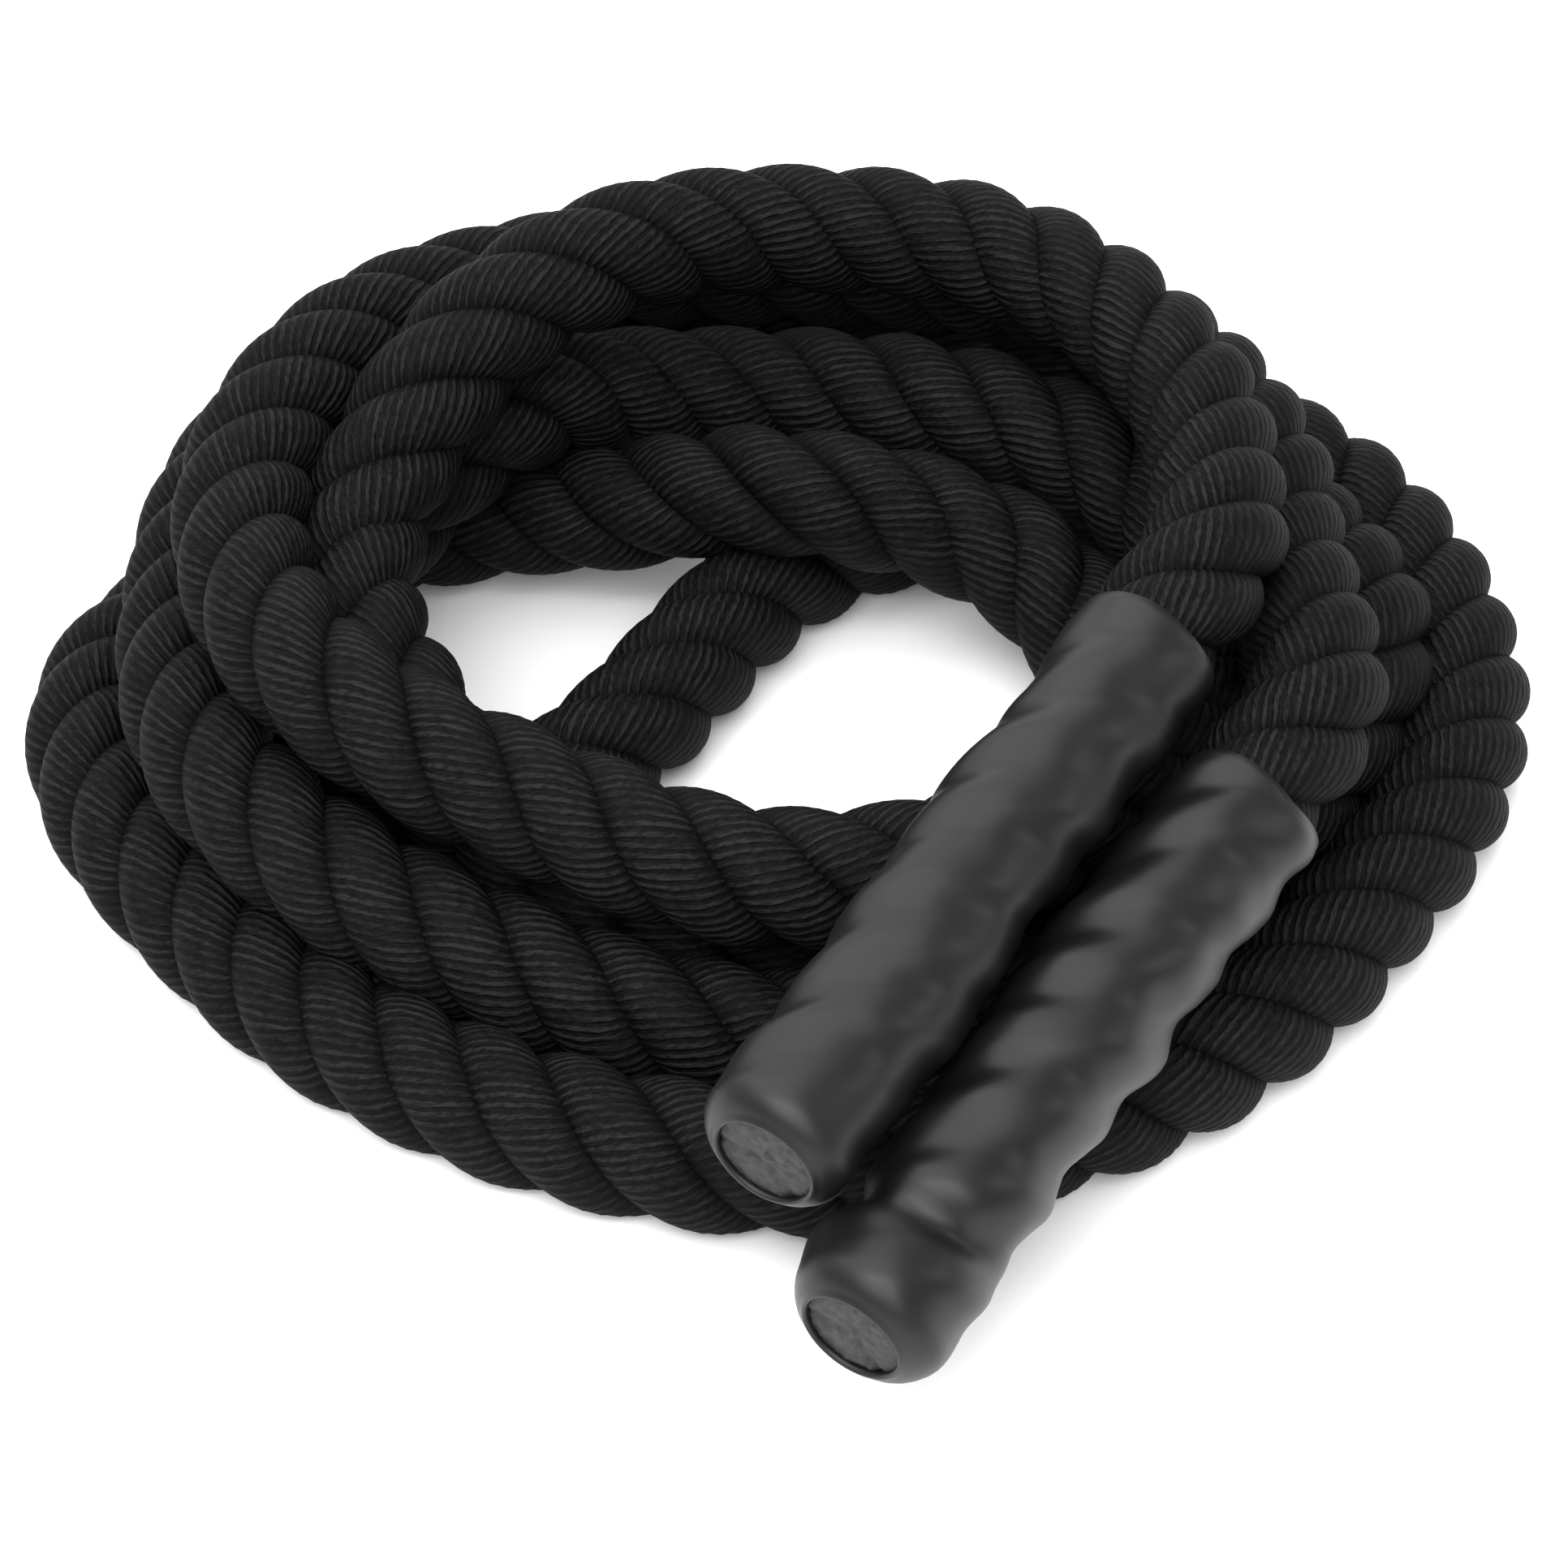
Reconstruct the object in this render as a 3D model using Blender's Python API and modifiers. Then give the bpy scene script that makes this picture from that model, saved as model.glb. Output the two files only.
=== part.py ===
"""Battle rope: one three-strand rope, coiled on the floor, with a shrink sleeve grip on each end."""
import math

import bmesh
import bpy
import numpy as np
from mathutils import Vector

# rope
rope_diameter = 0.038
turn_gap = 0.0009
clearance = 0.0003
flat_share = 0.1
layer_share = 0.86
stations_per_turn = 12
steps_per_station = 2
lay_length = 0.080

# rope inside the sleeves
rope_squeeze = 0.0044
mouth_overrun = 0.0020
fused_length = 0.0100
fused_spread = 0.0004
fused_round = 0.0012
squeezed_diameter = rope_diameter - rope_squeeze
fused_diameter = squeezed_diameter + fused_spread

# grip sleeves
sleeve_length = 0.190
sleeve_looseness = 0.0012
sleeve_wall = 0.0017
strand_bulge = 0.0008
mouth_edge = 0.0007
lip_opening_share = 0.7
lip_depth = 0.0030
end_round = 0.0080
ring_spacing = 0.0080
sleeve_sides = 30
strand_count = 3
sleeve_bore = squeezed_diameter + sleeve_looseness
sleeve_diameter = sleeve_bore + 2 * sleeve_wall
mouth_edge_diameter = sleeve_bore + 2 * mouth_edge
lip_opening_diameter = sleeve_bore * lip_opening_share

pitch = rope_diameter + turn_gap
floor_height = rope_diameter / 2 - rope_diameter * flat_share
layer_height = pitch * layer_share

# The route, by hand, in rope pitches. A station stands every 30 degrees, anticlockwise from the
# right-hand side: how far out it lies, and how many layers up.
# From grip A: over the far side, under at the left, along the front, small round the eye, out to the
# left on the floor, right round outside, then up over itself on the left and in along the front.
first_radii = [3.0, 3.15, 3.35, 3.1, 2.68, 2.72, 3.03, 2.95, 2.9, 2.75, 2.6, 2.6,
               2.65, 2.15, 1.5, 1.45, 2.2, 3.95, 4.95, 4.58, 4.5, 4.72, 4.69, 4.55,
               4.9, 5.02, 4.8, 4.55, 4.38, 4.46, 4.28, 4.35, 3.97, 3.72, 3.62, 3.66,
               4.2]
first_levels = [2.3, 2.24, 2.25, 2.36, 2.6, 2.25, 1.4, 1.15, 0.4, 0.0, 0.0, 0.0,
                0.15, 0.65, 1.05, 1.14, 0.75, 0.0, 0.0, 0.0, 0.0, 0.0, 0.0, 0.0,
                0.0, 0.0, 0.0, 0.1, 0.6, 0.95, 0.95, 1.0, 0.45, 0.0, 0.0, 0.08,
                0.58]
# From grip B, the same way round: far side, left and front on top, then inside and up to the left.
second_radii = [3.5, 3.75, 4.16, 4.2, 3.95, 3.8, 3.8, 3.68, 3.2, 3.15, 3.05, 3.0,
                3.05, 3.05, 2.7, 2.68, 2.6, 2.7, 3.75]
second_levels = [1.45, 1.4, 1.3, 1.2, 1.62, 2.0, 1.97, 1.92, 1.45, 1.05, 0.9, 0.65,
                 0.3, 0.6, 0.85, 0.75, 0.95, 1.4, 0.0]
# Between them the rope crosses the eye on the floor and turns back at the left: x, y and layers.
crossing = [(4.11, 0.87, 0.5), (3.79, 1.68, 0.35), (3.16, 2.26, 0.05), (2.30, 2.46, 0.0),
            (1.40, 2.32, 0.0), (0.52, 1.92, 0.0), (-0.08, 1.43, 0.0), (-0.48, 0.80, 0.0),
            (-0.84, 0.13, 0.0), (-1.22, -0.55, 0.0), (-1.78, -1.24, 0.0), (-2.50, -1.68, 0.0),
            (-3.17, -1.57, 0.0), (-3.64, -0.93, 0.0)]
# Each grip: its mouth in pitches, and the way its axis points from the free end to the mouth.
mouth_a = (2.37, -1.97, 2.28)
axis_a = (0.510, 0.849, 0.130)
mouth_b = (3.01, -2.79, 1.5)
axis_b = (0.536, 0.833, 0.139)
bridge_b = (3.60, -1.02, 1.58)
axis_steps = 4
settle_rounds = 600


def smooth_through(values, steps):
    """A smooth curve through the given rows, read at a number of steps between each two."""
    rows = np.asarray(values, float)
    rows = np.vstack([2 * rows[0] - rows[1], rows, 2 * rows[-1] - rows[-2]])
    points = []
    for index in range(len(rows) - 3):
        a, b, c, d = rows[index:index + 4]
        for step in range(steps):
            t = step / steps
            points.append(0.5 * (2 * b + (c - a) * t + (2 * a - 5 * b + 4 * c - d) * t ** 2
                                 + (3 * b - a - 3 * c + d) * t ** 3))
    points.append(rows[-2])
    return np.array(points)


def turns(radii, levels):
    """The points of a run of turns, from its stations."""
    rows = smooth_through(np.stack([radii, levels], 1), steps_per_station)
    step_angle = 2 * math.pi / (stations_per_turn * steps_per_station)
    angles = step_angle * np.arange(len(rows))
    out = rows[:, 0] * pitch
    return np.stack([out * np.cos(angles), out * np.sin(angles),
                     floor_height + rows[:, 1] * layer_height], 1)


def placed(point):
    """A point given in pitches and layers, in metres."""
    x, y, level = point
    return np.array([x * pitch, y * pitch, floor_height + level * layer_height])


def grip(mouth, axis):
    """The free end, the mouth and the unit axis of a grip."""
    end = placed(mouth)
    way = np.array(axis) / np.linalg.norm(axis)
    return end - way * sleeve_length, end, way


def apart(points):
    """Pairs of route segments that are far enough along the rope to lie beside each other."""
    lengths = np.linalg.norm(np.diff(points, axis=0), axis=1)
    middles = np.cumsum(lengths) - lengths / 2
    first, second = np.triu_indices(len(points) - 1, 2)
    between = middles[second] - middles[first] - (lengths[first] + lengths[second]) / 2
    keep = between > 1.9 * rope_diameter
    return first[keep], second[keep]


def nearest(points, first, second):
    """For each pair, the shares along both segments where they are nearest, and the offset there."""
    ways = np.diff(points, axis=0)
    p, u, q, v = points[first], ways[first], points[second], ways[second]
    offset = p - q
    uu = np.maximum((u * u).sum(1), 1e-12)
    vv = np.maximum((v * v).sum(1), 1e-12)
    uv, uo, vo = (u * v).sum(1), (u * offset).sum(1), (v * offset).sum(1)
    level = uu * vv - uv * uv
    s = np.where(level > 1e-14, np.clip((uv * vo - uo * vv) / np.where(level > 1e-14, level, 1), 0, 1), 0.5)
    t = np.clip((uv * s + vo) / vv, 0, 1)
    s = np.clip((uv * t - uo) / uu, 0, 1)
    return s, t, p + s[:, None] * u - q - t[:, None] * v


def settle(points, fixed, thickness):
    """Press overlapping turns apart until each pair keeps its gap, with the rope staying smooth."""
    home = points.copy()
    points = points.copy()
    free = (~fixed).astype(float)[:, None]
    first, second = apart(points)
    wanted = (thickness[first] + thickness[second]) / 2 + turn_gap
    for turn in range(settle_rounds):
        s, t, offset = nearest(points, first, second)
        distance = np.maximum(np.linalg.norm(offset, axis=1), 1e-9)
        near = np.flatnonzero(distance < wanted)
        push = ((wanted[near] - distance[near]) / distance[near] / 2)[:, None] * offset[near]
        move = np.zeros_like(points)
        np.add.at(move, first[near], push * (1 - s[near])[:, None])
        np.add.at(move, first[near] + 1, push * s[near][:, None])
        np.add.at(move, second[near], -push * (1 - t[near])[:, None])
        np.add.at(move, second[near] + 1, -push * t[near][:, None])
        points = points + move * free * 0.8
        if turn < settle_rounds * 0.85:
            moved = points - home
            eased = moved.copy()
            eased[1:-1] += 0.35 * ((moved[:-2] + moved[2:]) / 2 - moved[1:-1])
            points = home + eased * free * 0.99
        points[:, 2] = np.maximum(points[:, 2], floor_height)
    return points


end_a, start_a, way_a = grip(mouth_a, axis_a)
end_b, start_b, way_b = grip(mouth_b, axis_b)
straight = rope_diameter + mouth_overrun + clearance
inside_a = [end_a + (start_a - end_a) * step / axis_steps for step in range(axis_steps)]
inside_b = [end_b + (start_b - end_b) * step / axis_steps for step in range(axis_steps)]
out_a = [start_a, start_a + way_a * straight]
out_b = [start_b, start_b + way_b * straight, placed(bridge_b)]
first_leg = turns(first_radii, first_levels)
second_leg = turns(second_radii, second_levels)
middle = np.array([placed(point) for point in crossing])
route = np.vstack([inside_a, out_a, first_leg, middle, second_leg[::-1], out_b[::-1], inside_b[::-1]])
held = np.zeros(len(route), bool)
held[:axis_steps + 2] = True
held[-axis_steps - 2:] = True
thickness = np.full(len(route), rope_diameter)
grip_diameter = sleeve_diameter + 2 * strand_bulge
thickness[:axis_steps] = grip_diameter
thickness[-axis_steps - 1:] = grip_diameter
route = settle(route, held, thickness)

pairs = apart(route)
offsets = nearest(route, pairs[0], pairs[1])[2]
gaps = np.linalg.norm(offsets, axis=1) - (thickness[pairs[0]] + thickness[pairs[1]]) / 2
lengths = np.linalg.norm(np.diff(route, axis=0), axis=1)
print("rope length %.3f m, least gap to itself %.2f mm" % (lengths.sum(), 1000 * gaps.min()))

for thing in list(bpy.data.objects):
    bpy.data.objects.remove(thing, do_unlink=True)
for group in list(bpy.data.collections):
    bpy.data.collections.remove(group)
parts = bpy.data.collections.new("battle_rope")
cutters = bpy.data.collections.new("cutters")
for group in (parts, cutters):
    bpy.context.scene.collection.children.link(group)


def surface(name, colour, roughness):
    material = bpy.data.materials.new(name)
    material.use_nodes = True
    shader = material.node_tree.nodes["Principled BSDF"]
    shader.inputs["Base Color"].default_value = (*colour, 1.0)
    shader.inputs["Roughness"].default_value = roughness
    shader.inputs["Metallic"].default_value = 0.0
    return material


def rope_fibre(name):
    return surface(name, (0.020, 0.020, 0.021), 0.80)


def tube(name, points, diameter, resolution, material):
    """A round tube along the points, as a closed mesh with welded caps."""
    curve = bpy.data.curves.new(name + "_line", "CURVE")
    curve.dimensions = "3D"
    curve.bevel_depth = diameter / 2
    curve.bevel_resolution = resolution
    curve.use_fill_caps = True
    line = curve.splines.new("POLY")
    line.points.add(len(points) - 1)
    for index, point in enumerate(points):
        line.points[index].co = (*point, 1.0)
    guide = bpy.data.objects.new(name + "_line", curve)
    parts.objects.link(guide)
    depsgraph = bpy.context.evaluated_depsgraph_get()
    mesh = bpy.data.meshes.new_from_object(guide.evaluated_get(depsgraph))
    work = bmesh.new()
    work.from_mesh(mesh)
    bmesh.ops.remove_doubles(work, verts=work.verts, dist=1e-6)
    bmesh.ops.recalc_face_normals(work, faces=work.faces)
    work.to_mesh(mesh)
    work.free()
    mesh.name = name
    body = bpy.data.objects.new(name, mesh)
    body.matrix_world = guide.matrix_world
    parts.objects.link(body)
    bpy.data.objects.remove(guide, do_unlink=True)
    bpy.data.curves.remove(curve)
    body.data.materials.clear()
    body.data.materials.append(material)
    body.data.shade_smooth()
    body.data.set_sharp_from_angle(angle=math.radians(50))
    return body


# The coil: one unbroken tube from mouth to mouth, cut flat where it rests on the floor.
coil_points = route[axis_steps:-axis_steps].copy()
coil_points[0] = start_a + way_a * (mouth_overrun + clearance)
coil_points[-1] = start_b + way_b * (mouth_overrun + clearance)
coil = tube("rope_coil", coil_points, rope_diameter, 1, rope_fibre("rope_fibre"))
reach = 2 * max(first_radii) * pitch + 4 * rope_diameter
bpy.ops.mesh.primitive_cube_add(size=1, location=(0, 0, -rope_diameter / 2))
floor_cutter = bpy.context.active_object
floor_cutter.name = "floor_cutter"
floor_cutter.scale = (reach, reach, rope_diameter)
for group in list(floor_cutter.users_collection):
    group.objects.unlink(floor_cutter)
cutters.objects.link(floor_cutter)
floor_cutter.hide_render = True
floor_cutter.display_type = "WIRE"
cut = coil.modifiers.new("resting_flat", "BOOLEAN")
cut.operation = "DIFFERENCE"
cut.object = floor_cutter


def sleeve_rings():
    """Rings of the sleeve from its mouth edge to the free end, round the lip, and into the bore."""
    outer = sleeve_diameter / 2
    bore = sleeve_bore / 2
    lip = lip_opening_diameter / 2
    rings = [(sleeve_length, bore, 0.0), (sleeve_length, mouth_edge_diameter / 2, 0.0),
             (sleeve_length - end_round / 2, outer, 0.4)]
    body = sleeve_length - 2.5 * end_round
    count = max(3, round(body / ring_spacing))
    for index in range(count + 1):
        rings.append((sleeve_length - end_round - body * index / count, outer, 1.0))
    # the free end turns in to the lip in an even round
    fall = outer - (lip + outer) / 2
    for index in range(1, 5):
        angle = math.radians(22.5 * index)
        rings.append((end_round * (1 - math.sin(angle)), outer - fall * (1 - math.cos(angle)), 0.8 - 0.2 * index))
    rings.append((0.15 * lip_depth, lip + 0.35 * (lip + outer) / 2 - 0.35 * lip, 0.0))
    rings.append((0.45 * lip_depth, lip, 0.0))
    rings.append((lip_depth, lip + 0.1 * lip_depth, 0.0))
    rings.append((lip_depth, bore, 0.0))
    return rings


def sleeve(name, free_end, way, phase):
    """A hollow sleeve, shrunk on the rope so that its three strands show as twisted bulges."""
    rings = sleeve_rings()
    work = bmesh.new()
    rows = []
    for along, radius, share in rings:
        row = []
        for side in range(sleeve_sides):
            angle = 2 * math.pi * side / sleeve_sides
            wave = math.cos(strand_count * (angle - phase) - strand_count * 2 * math.pi * along / lay_length)
            out = radius + strand_bulge * share * wave
            row.append(work.verts.new((out * math.cos(angle), out * math.sin(angle), along)))
        rows.append(row)
    for index, row in enumerate(rows):
        other = rows[(index + 1) % len(rows)]
        for side in range(sleeve_sides):
            following = (side + 1) % sleeve_sides
            work.faces.new((row[side], row[following], other[following], other[side]))
    bmesh.ops.recalc_face_normals(work, faces=work.faces)
    mesh = bpy.data.meshes.new(name)
    work.to_mesh(mesh)
    work.free()
    body = bpy.data.objects.new(name, mesh)
    body.location = free_end
    body.rotation_euler = Vector((0, 0, 1)).rotation_difference(Vector(way)).to_euler()
    parts.objects.link(body)
    body.data.materials.append(surface(name + "_shrink", (0.012, 0.012, 0.012), 0.36))
    body.data.shade_smooth()
    body.data.set_sharp_from_angle(angle=math.radians(40))
    return body


def fused_end(name, free_end, way):
    """The rope's cut end, melted into a disc behind the sleeve's lip."""
    work = bmesh.new()
    bmesh.ops.create_cone(work, cap_ends=True, segments=24, radius1=fused_diameter / 2,
                          radius2=fused_diameter / 2, depth=fused_length)
    mesh = bpy.data.meshes.new(name)
    work.to_mesh(mesh)
    work.free()
    body = bpy.data.objects.new(name, mesh)
    body.location = Vector(free_end) + Vector(way) * (lip_depth + clearance + fused_length / 2)
    body.rotation_euler = Vector((0, 0, 1)).rotation_difference(Vector(way)).to_euler()
    parts.objects.link(body)
    body.data.materials.append(surface(name + "_melt", (0.050, 0.050, 0.052), 0.62))
    rounded = body.modifiers.new("melted_rim", "BEVEL")
    rounded.width = fused_round
    rounded.segments = 2
    rounded.limit_method = "ANGLE"
    rounded.angle_limit = math.radians(40)
    return body


for letter, free_end, mouth, way, phase in (("a", end_a, start_a, way_a, 0.0), ("b", end_b, start_b, way_b, 0.7)):
    sleeve("grip_sleeve_" + letter, free_end, way, phase)
    fused_end("fused_end_" + letter, free_end, way)
    behind = lip_depth + fused_length + 2 * clearance
    inner_run = sleeve_length + mouth_overrun - behind
    core = [free_end + way * (behind + inner_run * step / axis_steps) for step in range(axis_steps + 1)]
    tube("rope_end_" + letter, core, squeezed_diameter, 4, rope_fibre("rope_fibre_" + letter))

# The footprint is centred on the origin.
bpy.context.view_layer.update()
depsgraph = bpy.context.evaluated_depsgraph_get()
corners = []
for body in parts.objects:
    shape = body.evaluated_get(depsgraph)
    mesh = shape.to_mesh()
    corners.extend(shape.matrix_world @ vertex.co for vertex in mesh.vertices)
    shape.to_mesh_clear()
middle_x = (min(point.x for point in corners) + max(point.x for point in corners)) / 2
middle_y = (min(point.y for point in corners) + max(point.y for point in corners)) / 2
for body in list(parts.objects) + [floor_cutter]:
    body.location.x -= middle_x
    body.location.y -= middle_y
print("centred by %.5f, %.5f" % (middle_x, middle_y))
front = route[axis_steps + 2 + 2 * (stations_per_turn + 9)]
print("front of the floor turn %.4f, %.4f, %.4f" % (front[0] - middle_x, front[1] - middle_y, front[2]))
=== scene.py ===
# Battle rope in its coil: three laid strands with their yarns, two shrink grips and the fused ends.
import math

import bmesh
import bpy
import numpy as np
from mathutils import Matrix, Vector, noise


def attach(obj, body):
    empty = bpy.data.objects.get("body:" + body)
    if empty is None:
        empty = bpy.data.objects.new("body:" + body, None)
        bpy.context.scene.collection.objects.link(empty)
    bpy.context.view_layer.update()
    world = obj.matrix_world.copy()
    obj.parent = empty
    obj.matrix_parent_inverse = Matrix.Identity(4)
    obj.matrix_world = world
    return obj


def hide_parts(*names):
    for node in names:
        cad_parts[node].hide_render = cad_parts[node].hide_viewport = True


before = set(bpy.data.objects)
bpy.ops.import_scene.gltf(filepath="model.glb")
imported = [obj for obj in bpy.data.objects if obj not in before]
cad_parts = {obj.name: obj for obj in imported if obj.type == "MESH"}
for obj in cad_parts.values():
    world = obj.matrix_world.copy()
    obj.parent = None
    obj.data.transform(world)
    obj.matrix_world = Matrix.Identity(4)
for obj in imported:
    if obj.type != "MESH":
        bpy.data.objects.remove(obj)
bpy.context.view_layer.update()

bpy.ops.object.select_all(action="DESELECT")

view = {
    "elevation": 39.0,             # degrees above the floor
    "distance": 1.2,               # from the middle of the coil
    "lens": 96.5,
    "sensor": 36.0,
    "shiftY": -0.0279,
    "nearest": 0.02,
    "target": (-0.0017, 0.0404, 0.0),
}
up = math.radians(view["elevation"])
aim = Vector(view["target"])
cameraData = bpy.data.cameras.new("camera")
camera = bpy.data.objects.new("camera", cameraData)
bpy.context.scene.collection.objects.link(camera)
camera.location = aim + Vector((0.0, -math.cos(up), math.sin(up))) * view["distance"]
camera.rotation_euler = (math.radians(90) - up, 0.0, 0.0)
cameraData.lens = view["lens"]
cameraData.sensor_width = view["sensor"]
cameraData.shift_y = view["shiftY"]
cameraData.clip_start = view["nearest"]
bpy.context.scene.camera = camera
print("camera placed")

rope = {
    "diameter": 0.038,
    "turnGap": 0.0009,
    "nesting": 0.0054,                  # how much closer than side by side the turns lie that touch
    "flatShare": 0.1,                   # of the thickness, pressed flat on the floor
    "layerShare": 0.86,                 # height of a layer of turns, in pitches
    "middle": (-0.00173, 0.04041),      # the coil's middle in this frame
    # every 30 degrees from the right-hand side: how many pitches out, how many layers up
    "firstRadii": [3.0, 3.15, 3.35, 3.1, 2.68, 2.72, 3.03, 2.95, 2.9, 2.75, 2.6, 2.6,
                   2.65, 2.15, 1.5, 1.45, 2.2, 3.95, 4.95, 4.58, 4.5, 4.72, 4.69, 4.55,
                   4.9, 5.02, 4.8, 4.55, 4.38, 4.46, 4.28, 4.35, 3.97, 3.72, 3.62, 3.66,
                   4.2],
    "firstLevels": [2.3, 2.24, 2.25, 2.36, 2.6, 2.25, 1.4, 1.15, 0.4, 0.0, 0.0, 0.0,
                    0.15, 0.65, 1.05, 1.14, 0.75, 0.0, 0.0, 0.0, 0.0, 0.0, 0.0, 0.0,
                    0.0, 0.0, 0.0, 0.1, 0.6, 0.95, 0.95, 1.0, 0.45, 0.0, 0.0, 0.08,
                    0.58],
    "secondRadii": [3.5, 3.75, 4.16, 4.2, 3.95, 3.8, 3.8, 3.68, 3.2, 3.15, 3.05, 3.0,
                    3.05, 3.05, 2.7, 2.68, 2.6, 2.7, 3.75],
    "secondLevels": [1.45, 1.4, 1.3, 1.2, 1.62, 2.0, 1.97, 1.92, 1.45, 1.05, 0.9, 0.65,
                     0.3, 0.6, 0.85, 0.75, 0.95, 1.4, 0.0],
    # across the eye on the floor: x, y and layers
    "crossing": [(4.11, 0.87, 0.5), (3.79, 1.68, 0.35), (3.16, 2.26, 0.05), (2.30, 2.46, 0.0),
                 (1.40, 2.32, 0.0), (0.52, 1.92, 0.0), (-0.08, 1.43, 0.0), (-0.48, 0.80, 0.0),
                 (-0.84, 0.13, 0.0), (-1.22, -0.55, 0.0), (-1.78, -1.24, 0.0), (-2.50, -1.68, 0.0),
                 (-3.17, -1.57, 0.0), (-3.64, -0.93, 0.0)],
    "mouthA": (2.37, -1.97, 2.28), "axisA": (0.510, 0.849, 0.130),
    "mouthB": (3.01, -2.79, 1.5), "axisB": (0.536, 0.833, 0.139),
    "bridgeB": (3.60, -1.02, 1.58),
    "sleeveLength": 0.190,
    "gripDiameter": 0.0398,
    "axisSteps": 4,                     # route points inside each sleeve
    "mouthRun": 0.0023,                 # and its thickness: the rope runs so far straight out of a sleeve
    "rounds": 600,                      # of pressing the turns apart
    "pushShare": 0.8,                   # of an overlap that one round undoes
    "smoothShare": 0.35,
    "smoothUntil": 0.85,                # share of the rounds, after which nothing is smoothed
    "holdShare": 0.99,                  # keeps the turns near their drawn places
    "ownRun": 1.9,                      # diameters along the rope, within which it can't touch itself
    "spacing": 0.0025,                  # of the finished centre line
    "ease": 0.007,                      # run over which it is smoothed
}
pitch = rope["diameter"] + rope["turnGap"]
floorHeight = rope["diameter"] * (0.5 - rope["flatShare"])
layerHeight = pitch * rope["layerShare"]


def smoothThrough(values, steps):
    rows = np.asarray(values, float)
    rows = np.vstack([2 * rows[0] - rows[1], rows, 2 * rows[-1] - rows[-2]])
    points = []
    for index in range(len(rows) - 3):
        a, b, c, d = rows[index:index + 4]
        for step in range(steps):
            t = step / steps
            points.append(0.5 * (2 * b + (c - a) * t + (2 * a - 5 * b + 4 * c - d) * t ** 2
                                 + (3 * b - a - 3 * c + d) * t ** 3))
    points.append(rows[-2])
    return np.array(points)


def turnPoints(radii, levels):
    rows = smoothThrough(np.stack([radii, levels], 1), 2)
    angles = math.radians(15) * np.arange(len(rows))
    out = rows[:, 0] * pitch
    return np.stack([out * np.cos(angles), out * np.sin(angles), floorHeight + rows[:, 1] * layerHeight], 1)


def placed(point):
    return np.array([point[0] * pitch, point[1] * pitch, floorHeight + point[2] * layerHeight])


def gripLine(mouth, axis):
    way = np.array(axis) / np.linalg.norm(axis)
    return placed(mouth) - way * rope["sleeveLength"], placed(mouth), way


def pairsApart(points):
    lengths = np.linalg.norm(np.diff(points, axis=0), axis=1)
    middles = np.cumsum(lengths) - lengths / 2
    first, second = np.triu_indices(len(points) - 1, 2)
    between = middles[second] - middles[first] - (lengths[first] + lengths[second]) / 2
    keep = between > rope["ownRun"] * rope["diameter"]
    return first[keep], second[keep]


def nearestShares(points, first, second):
    ways = np.diff(points, axis=0)
    p, u, q, v = points[first], ways[first], points[second], ways[second]
    offset = p - q
    uu = np.maximum((u * u).sum(1), 1e-12)
    vv = np.maximum((v * v).sum(1), 1e-12)
    uv, uo, vo = (u * v).sum(1), (u * offset).sum(1), (v * offset).sum(1)
    level = uu * vv - uv * uv
    s = np.where(level > 1e-14, np.clip((uv * vo - uo * vv) / np.where(level > 1e-14, level, 1), 0, 1), 0.5)
    t = np.clip((uv * s + vo) / vv, 0, 1)
    s = np.clip((uv * t - uo) / uu, 0, 1)
    return s, t, p + s[:, None] * u - q - t[:, None] * v


def settled(points, fixed, thickness):
    # turns that overlap press each other apart, and the rope stays smooth; a grip keeps its full distance
    home = points.copy()
    points = points.copy()
    free = (~fixed).astype(float)[:, None]
    first, second = pairsApart(points)
    wanted = (thickness[first] + thickness[second]) / 2 + rope["turnGap"]
    wanted = wanted - rope["nesting"] * (wanted < rope["diameter"] + 1.1 * rope["turnGap"])
    for turn in range(rope["rounds"]):
        s, t, offset = nearestShares(points, first, second)
        distance = np.maximum(np.linalg.norm(offset, axis=1), 1e-9)
        near = np.flatnonzero(distance < wanted)
        push = ((wanted[near] - distance[near]) / distance[near] / 2)[:, None] * offset[near]
        move = np.zeros_like(points)
        np.add.at(move, first[near], push * (1 - s[near])[:, None])
        np.add.at(move, first[near] + 1, push * s[near][:, None])
        np.add.at(move, second[near], -push * (1 - t[near])[:, None])
        np.add.at(move, second[near] + 1, -push * t[near][:, None])
        points = points + move * free * rope["pushShare"]
        if turn < rope["rounds"] * rope["smoothUntil"]:
            moved = points - home
            smooth = moved.copy()
            smooth[1:-1] += rope["smoothShare"] * ((moved[:-2] + moved[2:]) / 2 - moved[1:-1])
            points = home + smooth * free * rope["holdShare"]
        points[:, 2] = np.maximum(points[:, 2], floorHeight)
    return points


freeEndA, mouthA, wayA = gripLine(rope["mouthA"], rope["axisA"])
freeEndB, mouthB, wayB = gripLine(rope["mouthB"], rope["axisB"])
steps = rope["axisSteps"]
straightRun = rope["diameter"] + rope["mouthRun"]
insideA = [freeEndA + (mouthA - freeEndA) * step / steps for step in range(steps)]
insideB = [freeEndB + (mouthB - freeEndB) * step / steps for step in range(steps)]
outA = [mouthA, mouthA + wayA * straightRun]
outB = [mouthB, mouthB + wayB * straightRun, placed(rope["bridgeB"])]
route = np.vstack([insideA, outA, turnPoints(rope["firstRadii"], rope["firstLevels"]),
                   np.array([placed(point) for point in rope["crossing"]]),
                   turnPoints(rope["secondRadii"], rope["secondLevels"])[::-1], outB[::-1], insideB[::-1]])
held = np.zeros(len(route), bool)
held[:steps + 2] = True
held[-steps - 2:] = True
thickness = np.full(len(route), rope["diameter"])
thickness[:steps] = rope["gripDiameter"]
thickness[-steps - 1:] = rope["gripDiameter"]
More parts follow.
